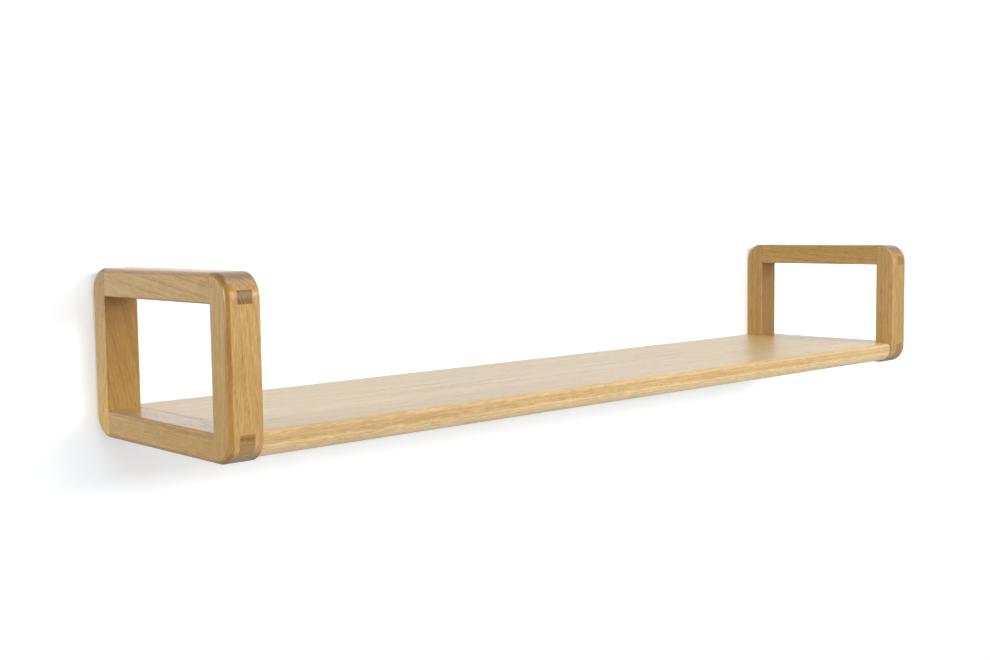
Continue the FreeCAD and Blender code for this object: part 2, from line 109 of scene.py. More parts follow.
TIMBERS = {
    "left_front_stile": Timber("Z", (60, 75, 0), (4, 1.2, 0), 3.8, gold=0.1, seed=1),
    # Painted shade: darker towards its upper end, where the top rail shades its inner face.
    "left_back_stile": Timber("Z", (-70, -50, 0), (4, -9, 0), 4.2, 9, 1.0, -3.6, 1.0, seed=2),
    "left_top_rail": Timber("Y", (-40, 0, -14), (8, 0, 0), 2.5, tone=0.2, seed=3),
    "left_bottom_rail": Timber("Y", (-4, 0, -80), (1, 0, 0), 2.1, tone=0.9, ends=0.75, seed=4),
    "right_front_stile": Timber("Z", (60, -70, 0), (-2, 2, 0), 3.6, tone=0.1, seed=5),
    "right_back_stile": Timber("Z", (50, 60, 0), (2, 1, 0), 3.2, tone=0.2, gold=0.3, seed=6),
    "right_top_rail": Timber("Y", (-50, 0, 40), (4, 0, 0), 3.2, tone=0.3, gold=0.2, ends=0.6, seed=7),
    "right_bottom_rail": Timber("Y", (20, 0, 60), (-2, 0, 0), 2.2, tone=0.1, ends=0.5, seed=8),
    "board_stave_1": Timber("X", (0, 30, -60), (0, 0.6, 0.4), 3.0, tone=0.2, seed=9),
    "board_stave_2": Timber("X", (0, -10, -34), (0, 0.9, -0.3), 3.8, tone=0.1, seed=10),
    "board_stave_3": Timber("X", (0, 14, -30), (0, -0.8, 0.5), 4.0, tone=0.3, seed=11),
    # Painted light: paler towards its right end, where more of the lamps' light falls.
    "board_stave_4": Timber("X", (0, 40, -70), (0, -0.7, 0.8), 2.6, tone=-0.15, fade=1.7, seed=12),
}


# Settings that a user would change.

def number(name, description, default, **limits):
    return FloatProperty(name=name, description=description, default=default, **limits)


def colour(name, description, default):
    return FloatVectorProperty(
        name=name, description=description, default=default, subtype="COLOR", min=0, max=1)


length = partial(number, min=0, subtype="DISTANCE", unit="LENGTH", precision=5)
share = partial(number, min=0, max=1, subtype="FACTOR")
angle = partial(number, subtype="ANGLE", unit="ROTATION")
power = partial(number, min=0, unit="POWER")


class OakSettings(PropertyGroup):
    """The colour and surface of the oiled oak."""
    pale: colour("Late wood", "Pale wood between the pore rings", (0.585, 0.355, 0.110))
    tan: colour("Early wood", "Darker wood in the pore rings", (0.42, 0.225, 0.058))
    board_pale: colour("Board late wood", "Pale wood of the board", (0.86, 0.61, 0.28))
    board_tan: colour("Board early wood", "Darker wood of the board", (0.67, 0.43, 0.165))
    pore: colour("Pores", "Open pores filled with finish", (0.34, 0.150, 0.042))
    ray: colour("Rays", "Flecks of the wood's rays", (0.74, 0.51, 0.22))
    end_share: share("End grain", "How much end grain darkens", 0.95)
    # Painted shade on the rounded edges, for the light and sheen that they miss.
    frame_edge_shade: colour("Frame edges", "Tint of the rounded outer edges", (0.74, 0.62, 0.32))
    board_edge_shade: colour("Board edges", "Tint of the rounded upper edges", (1.0, 0.98, 0.92))
    roughness: share("Roughness", "Roughness of the oiled wood", 0.36)
    coat_share: share("Coat", "Weight of the clear coat", 0.8)
    coat_roughness: share("Coat roughness", "Roughness of the frames' clear coat", 0.22)
    board_coat_roughness: share("Board coat", "Roughness of the board's clear coat", 0.38)
    pore_depth: length("Pore depth", "Depth of the open pores", 0.00012)


class FrameSettings(PropertyGroup):
    """The rounded edges of the end frames."""
    corner_radius: length("Corners", "Radius of a frame's outer corners", 0.019)
    outer_arris: length("Outer edge", "Round of the outer face's edge", 0.0045)
    inner_bevel: length("Inner edge", "Bevel of the inner face's edge", 0.0013)


class BoardSettings(PropertyGroup):
    """The rounded profile of the board, and the fit and edges of its tongues."""
    upper_front_radius: length("Upper front", "Radius of the upper front edge", 0.0045)
    lower_front_radius: length("Lower front", "Radius of the lower front edge", 0.013)
    back_radius: length("Back", "Radius of both edges at the wall", 0.004)
    end_bevel: length("End bevel", "Eased edge round the board's ends", 0.0005)
    slot_clearance: length("Slot clearance", "Room round the loose tongues", 0.0001)
    tongue_bevel: length("Tongue bevel", "Eased edges of the loose tongues", 0.0005)
    round_steps: IntProperty(
        name="Steps", description="Flats in each rounded edge", default=20, min=2, max=64)


class SteelSettings(PropertyGroup):
    """The hanger plates and their screws."""
    plate_colour: colour("Plate", "Bright zinc on the hanger plates", (0.62, 0.62, 0.60))
    screw_colour: colour("Screw", "Yellow zinc on the screws", (0.60, 0.50, 0.30))
    head_diameter: length("Screw head", "Diameter of a screw's head", 0.006)
    recess_length: length("Cross recess", "Length of the cross recess", 0.003)
    thread_diameter: length("Thread", "Diameter of a screw over its thread", 0.003)
    thread_height: length("Thread height", "How far the thread stands off the core", 0.0003)
    thread_pitch: length("Thread pitch", "From one turn of the thread to the next", 0.0012)
    edge_round: length("Edge round", "Rounded edge of a stamped plate", 0.00025)


class StudioSettings(PropertyGroup):
    """The camera, the lamps, and the white wall and floor."""
    camera_place: FloatVectorProperty(
        name="Camera", description="Where the camera stands",
        default=(-0.90879, -0.96709, 0.15437), subtype="XYZ", unit="LENGTH")
    camera_pan: angle("Pan", "From straight ahead towards the right", 0.747692)
    camera_tilt: angle("Tilt", "Below the horizon", 0.083522)
    camera_roll: angle("Roll", "Clockwise, seen from behind the camera", 0.012824)
    focal_length: number("Focal length", "Lens on a 36 mm sensor", 46.626, unit="CAMERA")
    key_power: power("Key lamp", "Large soft lamp, low in front", 33)
    strip_power: power("Strip lamp", "Upright lamp on the front right", 9)
    fill_power: power("Fill lamp", "Soft lamp on the left", 43)
    top_power: power("Top lamp", "Large soft lamp overhead", 17)
    sky_strength: number("Ambient", "Light from all round", 0.18, min=0)
    room_shade: share("Room", "Brightness of the mirrored room", 0.2)
    white: colour("White", "Wall and floor", (0.86, 0.89, 0.93))
    wall_glow: number("Wall glow", "Lifts the wall in the picture", 0.36, min=0)
    floor_glow: number("Floor glow", "Lifts the floor in the picture", 0.62, min=0)


# Node trees.

class Nodes:
    """Adds nodes to a tree and joins them up. An input is another node's output or a value."""

    def __init__(self, tree):
        self.tree = tree

    def feed(self, inputs, values):
        for name, value in values.items():
            if isinstance(value, bpy.types.NodeSocket):
                self.tree.links.new(value, inputs[name])
            else:
                inputs[name].default_value = value

    def add(self, kind, inputs=None, **settings):
        node = self.tree.nodes.new(kind)
        for name, value in settings.items():
            setattr(node, name, value)
        self.feed(node.inputs, inputs or {})
        return node

    def first(self, kind, inputs=None, **settings):
        """The first output of a new node."""
        return self.add(kind, inputs, **settings).outputs[0]

    def math(self, operation, *values, clamp=False):
        return self.first(
            "ShaderNodeMath", dict(enumerate(values)), operation=operation, use_clamp=clamp)

    def plus(self, first, second):
        return self.math("ADD", first, second)

    def minus(self, first, second):
        return self.math("SUBTRACT", first, second)

    def times(self, first, second):
        return self.math("MULTIPLY", first, second)

    def vector(self, operation, *values):
        node = self.add("ShaderNodeVectorMath", dict(enumerate(values)), operation=operation)
        return node.outputs["Value" if operation in ("LENGTH", "DOT_PRODUCT") else "Vector"]

    def scaled(self, vector, x, y, z):
        return self.vector("MULTIPLY", vector, (1 / x, 1 / y, 1 / z))

    def noise(self, vector, output="Fac", detail=2.0, roughness=0.5):
        return self.add("ShaderNodeTexNoise", {
            "Vector": vector, "Scale": 1.0, "Detail": detail, "Roughness": roughness,
        }).outputs[output]

    def smooth(self, value, low, high, start=0.0, end=1.0):
        """From start to end, eased, while the value goes from low to high."""
        return self.first("ShaderNodeMapRange", {
            "Value": value, "From Min": low, "From Max": high, "To Min": start, "To Max": end,
        }, interpolation_type="SMOOTHSTEP")

    def choose(self, factor, first, second):
        """The first number where the factor is nought, and the second where it is one."""
        return self.first("ShaderNodeMix", {0: factor, 2: first, 3: second}, data_type="FLOAT")

    def tinted(self, colour, tint):
        return self.blend(1.0, colour, tint, "MULTIPLY")

    def blend(self, factor, first, second, kind="MIX"):
        return self.add("ShaderNodeMix", {0: factor, 6: first, 7: second}, data_type="RGBA",
                        blend_type=kind).outputs[2]

    def split(self, vector):
        return self.add("ShaderNodeSeparateXYZ", {0: vector}).outputs

    def join(self, x, y, z):
        return self.first("ShaderNodeCombineXYZ", {0: x, 1: y, 2: z})

    def bump(self, strength, depth, height):
        return self.first(
            "ShaderNodeBump", {"Strength": strength, "Distance": depth, "Height": height})

    def object_noise(self, detail, x, y, z):
        """Noise over a piece, of the given sizes in millimetres along its axes."""
        place = self.add("ShaderNodeTexCoord").outputs["Object"]
        return self.noise(self.scaled(place, x * MM, y * MM, z * MM), detail=detail)


def new_tree(name, kind, inputs, outputs):
    """A node tree with named inputs and outputs, its nodes, what is given and what is wanted."""
    tree = bpy.data.node_groups.new(name, kind)
    for in_out, sockets in (("INPUT", inputs), ("OUTPUT", outputs)):
        for socket_kind, labels in sockets.items():
            for label in labels:
                tree.interface.new_socket(
                    name=label, in_out=in_out, socket_type=f"NodeSocket{socket_kind}")
    nodes = Nodes(tree)
    given = nodes.add("NodeGroupInput").outputs
    wanted = nodes.add("NodeGroupOutput").inputs
    return tree, nodes, given, wanted


def blank_nodes(owner):
    """The emptied node tree of a material or a world."""
    owner.use_nodes = True
    owner.node_tree.nodes.clear()
    return Nodes(owner.node_tree)


def rgba(triple):
    return (*triple, 1.0)


WHITE = rgba((1, 1, 1))


# Oak.

OAK_FIGURE = "Oak figure"
OAK_INPUTS = {
    "Vector": ("Place", "Heart"),
    "Float": ("Ring Width", "Waver", "Seed", "Tone", "Gold"),
    "Color": ("Late Wood", "Early Wood", "Pore", "Ray"),
}
OAK_OUTPUTS = {"Color": ("Colour",), "Float": ("Gloss Loss", "Height", "Rings")}

# For each feature of the wood: its reach across and along the grain in millimetres, how many
# finer levels it has, and how rough these are.
OAK_FEATURES = {
    "wander": (48, 340, 2.0, 0.5),
    "ripple": (7, 70, 1.0, 0.5),
    "fibre": (0.8, 30, 3.0, 0.6),
    "grain": (1.0, 11, 2.0, 0.6),
    "streak": (4.5, 60, 2.0, 0.5),
    "cloud": (26, 190, 2.0, 0.5),
    "pores": (0.34, 4.5, 0.0, 0.5),
    "flecks": (0.7, 5, 1.0, 0.5),
    "breaks": (0.8, 8, 1.0, 0.5),
}
# How far each seed moves the cut through the pattern, how far ripples move a ring, and how far
# the years differ in width, in millimetres.
SEED_STEP = (137, 71, 311)
SEED_SPREAD_STEP = 3.7
RIPPLE_SHIFT = 1.3
YEAR_SPREAD = 14.0
YEAR_SPREAD_REACH = 9.0
# The parts of each year in which the early wood fades out and starts again.
EARLY_WOOD_FADES = (0.0, 0.42)
EARLY_WOOD_STARTS = (0.93, 1.0)
# The levels of noise at which a feature starts to show and is full.
PORES_SHOW = (0.60, 0.72)
FLECKS_SHOW = (0.52, 0.68)
RAYS_SHOW = (0.62, 0.74)
BREAKS_SHOW = (0.30, 0.70)
# A ray's thickness, depth and height, and the radius where it is that thick, in millimetres.
RAY_SIZE = (0.55, 9.0, 7.0)
RAY_RADIUS = 90.0
# How much a step of tone and each feature lighten or darken the wood.
TONE_STEP = 0.10
BRIGHTNESS_SWINGS = {"fibre": 0.46, "grain": 0.80, "streak": 0.34, "cloud": 0.26}
# Darker wood is redder and paler wood creamier: how much faster red and blue change than green.
RED_POWER = 0.8
BLUE_POWER = 1.4
GOLD_TINT = (1.02, 0.98, 0.58, 1)
# How strongly the features colour the wood, and their depth as shares of a pore's.
RAY_COVER = 0.25
FLECK_COVER = 0.38
PORE_COVER = 0.55
FIBRE_HEIGHT = 0.25
EARLY_WOOD_DEPTH = 0.25
PORE_GLOSS_LOSS = 0.25
CLOUD_GLOSS_SWING = 0.10
# End grain: how straight a face has to look along the grain, and its tints between and in rings.
END_GRAIN_SHOWS = (0.32, 0.85)
END_GRAIN_TINTS = ((0.52, 0.43, 0.32, 1), (0.22, 0.14, 0.08, 1))
END_GRAIN_ROUGHENS = 0.10
# A face counts as rounded off while no axis holds more of its direction than this.
ROUNDED_OFF = (0.93, 0.997)
FACES_EDGE_SIDE = (0.0, 0.15)
OAK_BUMP = 0.6
# The full core of a joint's dark line, as a share of its reach.
JOINT_LINE_CORE = 0.3


def oak_pattern():
    """The figure of solid oak, in millimetres, with the grain along Z, for a cut at any angle."""
    if OAK_FIGURE in bpy.data.node_groups:
        return bpy.data.node_groups[OAK_FIGURE]
    tree, nodes, given, wanted = new_tree(OAK_FIGURE, "ShaderNodeTree", OAK_INPUTS, OAK_OUTPUTS)
    seed = given["Seed"]
    place = nodes.vector("ADD", given["Place"], nodes.vector("MULTIPLY", seed, SEED_STEP))

    def feature(name, output="Fac"):
        across, along, detail, roughness = OAK_FEATURES[name]
        return nodes.noise(nodes.scaled(place, across, across, along), output, detail, roughness)

    def centred(name):
        return nodes.vector("SUBTRACT", feature(name, "Color"), (0.5, 0.5, 0.5))

    # Yearly rings round a heart line that wanders.
    shift = nodes.vector("ADD", nodes.vector("MULTIPLY", centred("wander"), given["Waver"]),
                         nodes.vector("MULTIPLY", centred("ripple"), (RIPPLE_SHIFT,) * 3))
    across = nodes.vector("ADD", nodes.vector("SUBTRACT", given["Place"], given["Heart"]), shift)
    x, y, _ = nodes.split(across)
    radius = nodes.vector("LENGTH", nodes.join(x, y, 0.0))
    year_place = nodes.join(nodes.math("DIVIDE", radius, YEAR_SPREAD_REACH),
                            nodes.times(seed, SEED_SPREAD_STEP), 0.0)
    spread = nodes.times(nodes.minus(nodes.noise(year_place, detail=1.0), 0.5), YEAR_SPREAD)
    years = nodes.math("DIVIDE", nodes.plus(radius, spread), given["Ring Width"])
    phase = nodes.math("FRACT", years)
    early = nodes.math("MAXIMUM", nodes.smooth(phase, *EARLY_WOOD_FADES, 1.0, 0.0),
                       nodes.smooth(phase, *EARLY_WOOD_STARTS))
    chance = nodes.add("ShaderNodeTexWhiteNoise", {"W": nodes.math("FLOOR", years)},
                       noise_dimensions="1D").outputs["Value"]
    early = nodes.times(early, nodes.math("MULTIPLY_ADD", chance, 0.6, 0.4))

    # Pores and flecks keep mostly to the early wood. Rays cross the rings.
    noises = {name: feature(name) for name in BRIGHTNESS_SWINGS}
    pore_room = nodes.math("MULTIPLY_ADD", early, 0.75, 0.25)
    pores = nodes.times(nodes.smooth(feature("pores"), *PORES_SHOW), pore_room)
    flecks = nodes.times(nodes.smooth(feature("flecks"), *FLECKS_SHOW), pore_room)
    girth = nodes.times(nodes.math("ARCTAN2", y, x), RAY_RADIUS)
    ray_place = nodes.scaled(nodes.join(girth, radius, nodes.split(place)[2]), *RAY_SIZE)
    rays = nodes.smooth(nodes.noise(ray_place, detail=1.0), *RAYS_SHOW)
    broken = nodes.smooth(feature("breaks"), *BREAKS_SHOW)

    band = nodes.times(early, nodes.math("MULTIPLY_ADD", broken, 0.50, 0.25))
    wood = nodes.blend(band, given["Late Wood"], given["Early Wood"])
    brightness = nodes.math("MULTIPLY_ADD", given["Tone"], TONE_STEP, 1.0)
    for name, amount in BRIGHTNESS_SWINGS.items():
        brightness = nodes.plus(brightness, nodes.times(nodes.minus(noises[name], 0.5), amount))
    depth = nodes.join(nodes.math("POWER", brightness, RED_POWER), brightness,
                       nodes.math("POWER", brightness, BLUE_POWER))
    wood = nodes.tinted(wood, depth)
    wood = nodes.blend(given["Gold"], wood, nodes.tinted(wood, GOLD_TINT))
    for mask, cover, tint in ((rays, RAY_COVER, "Ray"), (flecks, FLECK_COVER, "Pore"),
                              (pores, PORE_COVER, "Pore")):
        wood = nodes.blend(nodes.times(mask, cover), wood, given[tint])

    height = nodes.minus(nodes.times(noises["fibre"], FIBRE_HEIGHT), pores)
    clouded = nodes.math("MULTIPLY_ADD", noises["cloud"], CLOUD_GLOSS_SWING, -CLOUD_GLOSS_SWING / 2)
    nodes.feed(wanted, {
        "Colour": wood, "Rings": early,
        "Gloss Loss": nodes.plus(nodes.times(pores, PORE_GLOSS_LOSS), clouded),
        "Height": nodes.minus(height, nodes.times(early, EARLY_WOOD_DEPTH))})
    return tree


def new_material(name):
    """A material, its nodes and the inputs of its surface."""
    material = bpy.data.materials.new(name)
    nodes = blank_nodes(material)
    surface = nodes.add("ShaderNodeBsdfPrincipled")
    nodes.add("ShaderNodeOutputMaterial", {"Surface": surface.outputs[0]})
    return material, nodes, surface.inputs


def joint_line(nodes, place, axis, planes, reach):
    """One on a thin line along each joint plane, and nought elsewhere."""
    coordinate = nodes.split(place)["XYZ".index(axis)]
    line = 0.0
    for plane in planes:
        away = nodes.math("ABSOLUTE", nodes.minus(coordinate, plane))
        near = nodes.smooth(away, JOINT_LINE_CORE * reach, reach, 1.0, 0.0)
        line = nodes.math("MAXIMUM", near, line)
    return line


def oak_material(node_name, late_wood, early_wood, coat_roughness, edge_shade_tint, edge_side, joints):
    """Oiled oak for one piece, cut as its timber says, with painted shade on its rounded edges.

    Only edges that look towards the edge side get the painted shade. The tone also changes along
    the piece by the timber's fade, painted light and shade. Each joint is an axis, the places of
    its planes on that axis, and how far its dark line reaches and how dark it is.
    """
    settings = bpy.context.scene.oak_finish
    timber = TIMBERS[node_name]
    turn = timber.turn()
    low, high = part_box(node_name)
    material, nodes, surface = new_material(f"oiled_oak_{node_name}")
    coordinates = nodes.add("ShaderNodeTexCoord").outputs
    place = nodes.first("ShaderNodeMapping", {
        "Vector": coordinates["Object"], "Location": (low + high) / 2,
        "Rotation": turn.to_euler(), "Scale": (MM, MM, MM)}, vector_type="TEXTURE")
    half_length = (high - low).dot(timber.grain()) / 2 / MM
    # Painted light and shade: the tone grows paler or darker along the grain by the timber's fade.
    tone = nodes.math("MULTIPLY_ADD", nodes.split(place)[2], timber.fade / half_length, timber.tone)
    figure = nodes.add("ShaderNodeGroup", node_tree=oak_pattern())
    nodes.feed(figure.inputs, {
        "Place": place, "Heart": turn.transposed() @ Vector(timber.heart), "Tone": tone,
        "Ring Width": timber.rings, "Waver": timber.waver, "Seed": timber.seed, "Gold": timber.gold,
        "Late Wood": rgba(late_wood), "Early Wood": rgba(early_wood), "Pore": rgba(settings.pore),
        "Ray": rgba(settings.ray)})

    # End grain soaks up more finish. The rounded edges get painted shade, a deeper colour for the
    # light and sheen they miss.
    facing = coordinates["Normal"]
    along_grain = nodes.math("ABSOLUTE", nodes.vector("DOT_PRODUCT", facing, timber.grain()))
    end_grain = nodes.smooth(along_grain, *END_GRAIN_SHOWS)
    deeper = nodes.blend(figure.outputs["Rings"], *END_GRAIN_TINTS)
    soaked = nodes.times(end_grain, settings.end_share * timber.ends)
    tint = nodes.blend(soaked, WHITE, deeper)
    wood = nodes.tinted(figure.outputs["Colour"], tint)
    # Painted shade on the rounded edges that look towards the edge side.
    parts = nodes.split(nodes.vector("ABSOLUTE", facing))
    flattest = nodes.math("MAXIMUM", nodes.math("MAXIMUM", parts[0], parts[1]), parts[2])
    towards = nodes.smooth(nodes.vector("DOT_PRODUCT", facing, edge_side), *FACES_EDGE_SIDE)
    rounded = nodes.times(nodes.smooth(flattest, *ROUNDED_OFF, 1.0, 0.0), towards)
    wood = nodes.blend(rounded, wood, nodes.tinted(wood, rgba(edge_shade_tint)))
    # Dark lines along the joints; those where the board's ends meet the rails are painted shade in
    # the gap.
    for axis, planes, reach, darkness in joints:
        line = joint_line(nodes, coordinates["Object"], axis, planes, reach)
        wood = nodes.blend(nodes.times(line, darkness), wood, rgba(settings.pore))

    bump = nodes.bump(OAK_BUMP, settings.pore_depth, figure.outputs["Height"])
    base = nodes.math("MULTIPLY_ADD", end_grain, END_GRAIN_ROUGHENS, settings.roughness)
    roughness = nodes.math("ADD", figure.outputs["Gloss Loss"], base, clamp=True)
    nodes.feed(surface, {
        "Base Color": wood, "Roughness": roughness, "Normal": bump, "Coat Normal": bump,
        "Coat Weight": settings.coat_share, "Coat Roughness": coat_roughness})
    return material


# Beech and steel. Sizes of their patterns are in millimetres, along X, Y and Z.

BEECH_FIBRE = (0.6, 30, 0.6)
BEECH_FLECKS = (0.5, 2.2, 0.5)
BEECH_FLECKS_SHOW = (0.62, 0.70)
BEECH_TINTS = ((0.60, 0.40, 0.25, 1), (0.74, 0.54, 0.36, 1))
BEECH_FLECK_TINT = (0.36, 0.20, 0.11, 1)
BEECH_FLECK_COVER = 0.5
BEECH_ROUGHNESS = 0.6
BEECH_GRAIN_DEPTH = 0.1 * MM
PLATE_SPANGLE = 2.5
SCREW_SPANGLE = 1.2
ROLLING_MARKS = (0.12, 0.12, 9)
ROLLING_MARK_DEPTH = 0.02 * MM
ZINC_SHADE = 0.72
ZINC_ROUGHNESS = 0.20


def beech_material():
    """Bare beech with its short dark flecks, for the loose tongues."""
    material, nodes, surface = new_material("bare_beech")
    fibre = nodes.object_noise(3.0, *BEECH_FIBRE)
    flecks = nodes.smooth(nodes.object_noise(0.0, *BEECH_FLECKS), *BEECH_FLECKS_SHOW)
    wood = nodes.blend(fibre, *BEECH_TINTS)
    nodes.feed(surface, {
        "Base Color": nodes.blend(nodes.times(flecks, BEECH_FLECK_COVER), wood, BEECH_FLECK_TINT),
        "Roughness": nodes.math("MULTIPLY_ADD", fibre, 0.1, BEECH_ROUGHNESS),
        "Normal": nodes.bump(0.5, BEECH_GRAIN_DEPTH, fibre)})
    return material


def zinc_material(name, tint, spangle):
    """Zinc-plated steel with faint rolling marks and a mottled sheen."""
    material, nodes, surface = new_material(name)
    mottle = nodes.object_noise(3.0, spangle, spangle, spangle)
    marks = nodes.object_noise(2.0, *ROLLING_MARKS)
    shaded = [ZINC_SHADE * part for part in tint]
    mottled = nodes.math("MULTIPLY_ADD", mottle, 0.18, ZINC_ROUGHNESS)
    nodes.feed(surface, {
        "Base Color": nodes.blend(mottle, rgba(shaded), rgba(tint)),
        "Roughness": nodes.plus(mottled, nodes.times(marks, 0.10)),
        "Metallic": 1.0,
        "Normal": nodes.bump(0.25, ROLLING_MARK_DEPTH, marks)})
    return material


# Meshes.

# How much more the large faces weigh in the shading of an edge.
FLATS_WEIGHT = 80


def link(name, mesh):
    piece = bpy.data.objects.new(name, mesh)
    bpy.context.scene.collection.objects.link(piece)
    return piece


def welded_copy(name, node_name):
    """A piece with the mesh of a node, its loose triangles joined into one skin."""
    mesh = NODES[node_name].data.copy()
    mesh.name = f"{node_name}_skin"
    shape = bmesh.new()
    shape.from_mesh(mesh)
    bmesh.ops.remove_doubles(shape, verts=shape.verts, dist=WELD_DISTANCE)
    bmesh.ops.dissolve_limit(shape, angle_limit=FLAT_ANGLE, verts=shape.verts, edges=shape.edges)
    shape.to_mesh(mesh)
    shape.free()
    mesh.materials.clear()
    crisp(mesh)
    return link(name, mesh)


def crisp(mesh):
    mesh.shade_smooth()
    mesh.set_sharp_from_angle(angle=CRISP_ANGLE)


def settle(piece):
    """Turn a piece's modifiers into plain mesh and take them off."""
    evaluated = piece.evaluated_get(bpy.context.evaluated_depsgraph_get())
    mesh = bpy.data.meshes.new_from_object(evaluated)
    piece.modifiers.clear()
    old = piece.data
    piece.data = mesh
    bpy.data.meshes.remove(old)


def apply_tree(piece, tree, values):
    """Work out a node tree on a piece, with its inputs set before it is first evaluated."""
    modifier = piece.modifiers.new(tree.name, "NODES")
    modifier.node_group = tree
    for socket in tree.interface.items_tree:
        if socket.in_out == "INPUT" and socket.name in values:
            modifier[socket.identifier] = values[socket.name]
    settle(piece)


def stand_for(piece, node_name):
    """Put a finished piece in a node's place."""
    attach(piece, BODY)
    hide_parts(node_name)


def dress_copy(node_name, kind, material, edge=0.0, outline=None, flats_weight=FLATS_WEIGHT):
    """Make a piece from a node's own mesh, with eased edges or the true rounds of an outline."""
    piece = welded_copy(f"{node_name}_{kind}", node_name)
    if edge > 0:
        eased = piece.modifiers.new("edges", "BEVEL")
        eased.width = edge
        eased.segments = 2
        eased.angle_limit = CRISP_ANGLE
    if flats_weight > 0:
        flats = piece.modifiers.new("flats", "WEIGHTED_NORMAL")
        flats.keep_sharp = True
        flats.weight = flats_weight
    settle(piece)
    if outline:
        true_rounds(piece.data, outline)
    piece.data.materials.append(material)
    stand_for(piece, node_name)


class FrameOutline:
    """The outside of one end frame: the way its rounds face at each point."""

    # How far a flat facet may lie under the round that it stands for.
    slack = 0.06 * MM
    # A facet belongs to a surface when it faces nearly the same way.
    same_way = math.cos(math.radians(16))

    def __init__(self, side):
        rounding = bpy.context.scene.frame_rounding
        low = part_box(f"{side}_front_stile")[0]
        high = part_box(f"{side}_back_stile")[1]
        self.middle = (low + high) / 2
        self.half = (high - low) / 2
        self.outward = SIDES[side]
        self.corner = rounding.corner_radius
        self.arris = rounding.outer_arris
        self.bevel = rounding.inner_bevel

    def depths(self, point):
        """Depth under the outline, under the outer face, and the outline's own direction."""
        place = point - self.middle
        over_y = max(abs(place.y) - self.half.y + self.corner, 0.0)
        over_z = max(abs(place.z) - self.half.z + self.corner, 0.0)
        facing = Vector((0, math.copysign(over_y, place.y), math.copysign(over_z, place.z)))
        under_outline = self.corner - facing.length
        return under_outline, self.half.x - self.outward * place.x, facing.normalized()

    def on_arris(self, point):
        under_outline, under_face, facing = self.depths(point)
        direction = facing * max(self.arris - under_outline, 0.0)
        direction.x = self.outward * max(self.arris - under_face, 0.0)
        return direction.normalized()

    def on_outline(self, point):
        return self.depths(point)[2]

    def on_bevel(self, point):
        return (self.on_outline(point) - Vector((self.outward, 0, 0))).normalized()

    def surface_of(self, face):
        """Which of the three surfaces a face of the mesh belongs to, if any."""
        under_outline, under_face, _ = self.depths(face.center)
        if max(under_outline, under_face) < self.arris - self.slack:
            surface = self.on_arris
        elif abs(under_outline) < self.slack:
            surface = self.on_outline
        elif under_outline + 2 * self.half.x - under_face < self.bevel + self.slack:
            surface = self.on_bevel
        else:
            return None
        return surface if surface(face.center).dot(face.normal) > self.same_way else None


class StaveOutline:
    """The rounded long edges of one stave of the board."""

    # A face that looks along the board more than this is on a stave's end.
    end_share = 0.6

    def __init__(self, low, high, radii):
        self.rounds = []
        for (out_y, out_z), radius in radii.items():
            if radius > 0:
                edge_y = high.y if out_y > 0 else low.y
                edge_z = high.z if out_z > 0 else low.z
                self.rounds.append((out_y, out_z, edge_y - out_y * radius, edge_z - out_z * radius))

    def surface_of(self, face):
        if abs(face.normal.x) > self.end_share:
            return None
        for out_y, out_z, middle_y, middle_z in self.rounds:
            over_y = (face.center.y - middle_y) * out_y
            over_z = (face.center.z - middle_z) * out_z
            if over_y > 0 and over_z > 0:
                axis = Vector((0, middle_y, middle_z))
                return lambda point: Vector((0, *(point - axis).yz)).normalized()
        return None


def true_rounds(mesh, outline, flat_rest=False):
    """Shade the facets of a piece's rounds by the true round, right up to the joints."""
    directions = [Vector(corner.vector) for corner in mesh.corner_normals]
    for face in mesh.polygons:
        surface = outline.surface_of(face)
        if surface or flat_rest:
            for corner in face.loop_indices:
                point = mesh.vertices[mesh.loops[corner].vertex_index].co
                directions[corner] = surface(point) if surface else face.normal
    mesh.normals_split_custom_set(directions)


# One stave of the board: a profile with a round at each corner, run out along X, with a slot for
# the loose tongue in each end.

GEOMETRY = {"Geometry": ("Geometry",)}
STAVE_INPUTS = {
    "Float": ("Front", "Back", "Bottom", "Top", "Half Length", "Lower Front Radius",
              "Lower Back Radius", "Upper Back Radius", "Upper Front Radius"),
    "Int": ("Round Steps",),
    "Vector": ("Slot Middle", "Slot Size"),
    "Material": ("Wood",),
}
# How far a slot's block stands out of the end that it cuts.
SLOT_OVERRUN = 1.0 * MM


def moved(nodes, shape, place, rotation=(0, 0, 0)):
    return nodes.first(
        "GeometryNodeTransform", {"Geometry": shape, "Translation": place, "Rotation": rotation})


def joined(nodes, *shapes):
    whole = nodes.add("GeometryNodeJoinGeometry")
    for shape in shapes:
        nodes.feed(whole.inputs, {0: shape})
    return whole.outputs[0]


def finish_tree(nodes, shape, material, wanted):
    """End a tree with real geometry in its material."""
    real = nodes.first("GeometryNodeRealizeInstances", {"Geometry": shape})
    finished = nodes.first("GeometryNodeSetMaterial", {"Geometry": real, "Material": material})
    nodes.feed(wanted, {"Geometry": finished})


